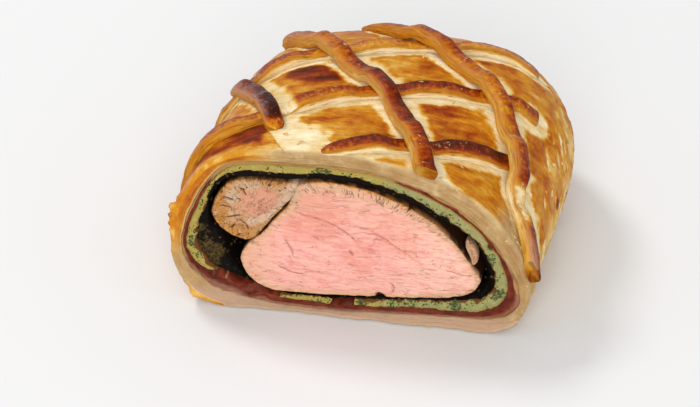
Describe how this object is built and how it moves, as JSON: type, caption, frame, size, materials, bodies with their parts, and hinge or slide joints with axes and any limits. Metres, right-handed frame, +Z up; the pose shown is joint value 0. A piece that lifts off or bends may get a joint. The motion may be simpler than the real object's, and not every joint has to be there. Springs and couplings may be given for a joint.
{
  "type": "beef wellington half",
  "caption": "Cut half of a baked beef wellington: puff pastry crust with a strip lattice, and cured ham, herb crepe, mushroom and pink beef fillet at the cut.",
  "frame": {"origin": "on the flat base, under the middle of the whole piece's box", "axes": "+Z up from the flat base, the cut face looks along -Y and the tucked far end is at +Y, +X to the right as seen when facing the cut"},
  "size_m": [0.128, 0.125, 0.0725],
  "materials": {
    "pastry": "flaky baked pastry, pale cream at its torn edges, golden and lightly glazed on its open fields",
    "glazed_strip": "egg-glazed pastry strip, shiny red-brown to dark brown on top, pale and layered on its side walls",
    "ham": "thin folded cured ham, moist, dark red with whitish fat",
    "herb_crepe": "soft yellow-green pancake with dark green herb flecks and a browned inner edge",
    "duxelles": "fine chopped mushroom, nearly black, crumbly and moist",
    "fillet": "rare roast beef, moist salmon pink with fine cross-cut fibres and a tan seared rim",
    "side_muscle": "well-seared beef, tan with brown fibres and a pink middle"
  },
  "bodies": {
    "root": {"crust": "pastry", "ham": "ham", "herb_crepe": "herb_crepe", "crepe_piece": "herb_crepe", "duxelles": "duxelles", "fillet": "fillet", "side_muscle": "side_muscle", "beef_shred": "side_muscle", "strip_under_front": "glazed_strip", "strip_under_middle": "glazed_strip", "strip_under_rear": "glazed_strip", "strip_under_end": "glazed_strip", "strip_over_left": "glazed_strip", "strip_over_middle": "glazed_strip", "strip_over_right": "glazed_strip"}
  },
  "joints": []
}
